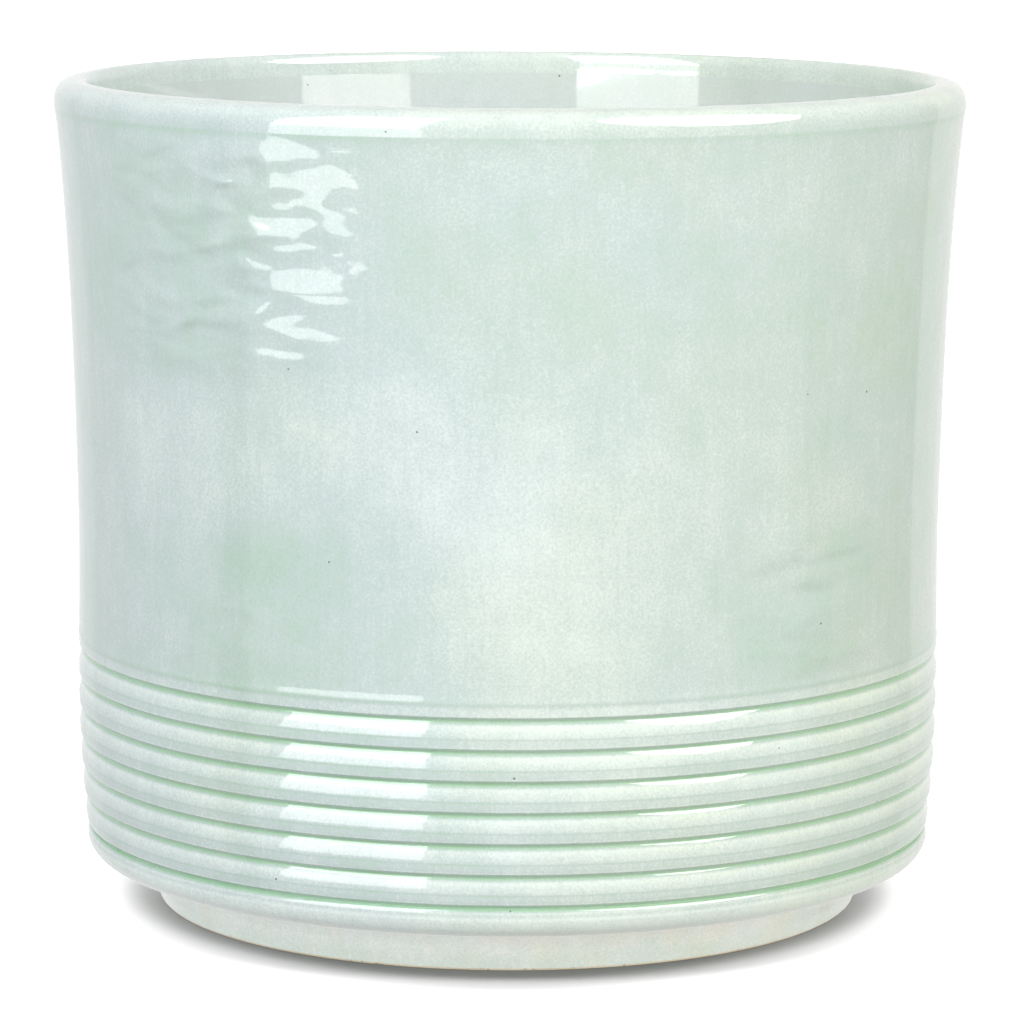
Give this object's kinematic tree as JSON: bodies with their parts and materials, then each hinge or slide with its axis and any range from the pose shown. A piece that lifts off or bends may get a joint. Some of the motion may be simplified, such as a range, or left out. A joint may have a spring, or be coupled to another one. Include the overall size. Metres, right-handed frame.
{
  "type": "brush pot",
  "caption": "Round glazed stoneware pot for brushes, with a soft flared lip, a band of turned grooves above a rounded shoulder, and a narrower foot ring.",
  "frame": {"origin": "centre of the face of the foot ring that the pot stands on", "axes": "+Z along the axis of the pot, from the foot to the open mouth; X and Y are free, because the pot is round"},
  "size_m": [0.18, 0.18, 0.164],
  "materials": {
    "fired_clay": "bare fired stoneware, ground flat where it stands",
    "celadon_glaze": "glossy pale celadon glaze, greener where it is thick",
    "liner_glaze": "glossy pale glaze, poured inside",
    "thin_glaze": "thin satin wash of the same glaze, with the clay showing through"
  },
  "bodies": {
    "root": {"stoneware_body": "fired_clay", "outside_glaze": "celadon_glaze", "liner_glaze": "liner_glaze", "foot_glaze": "thin_glaze"}
  },
  "joints": []
}
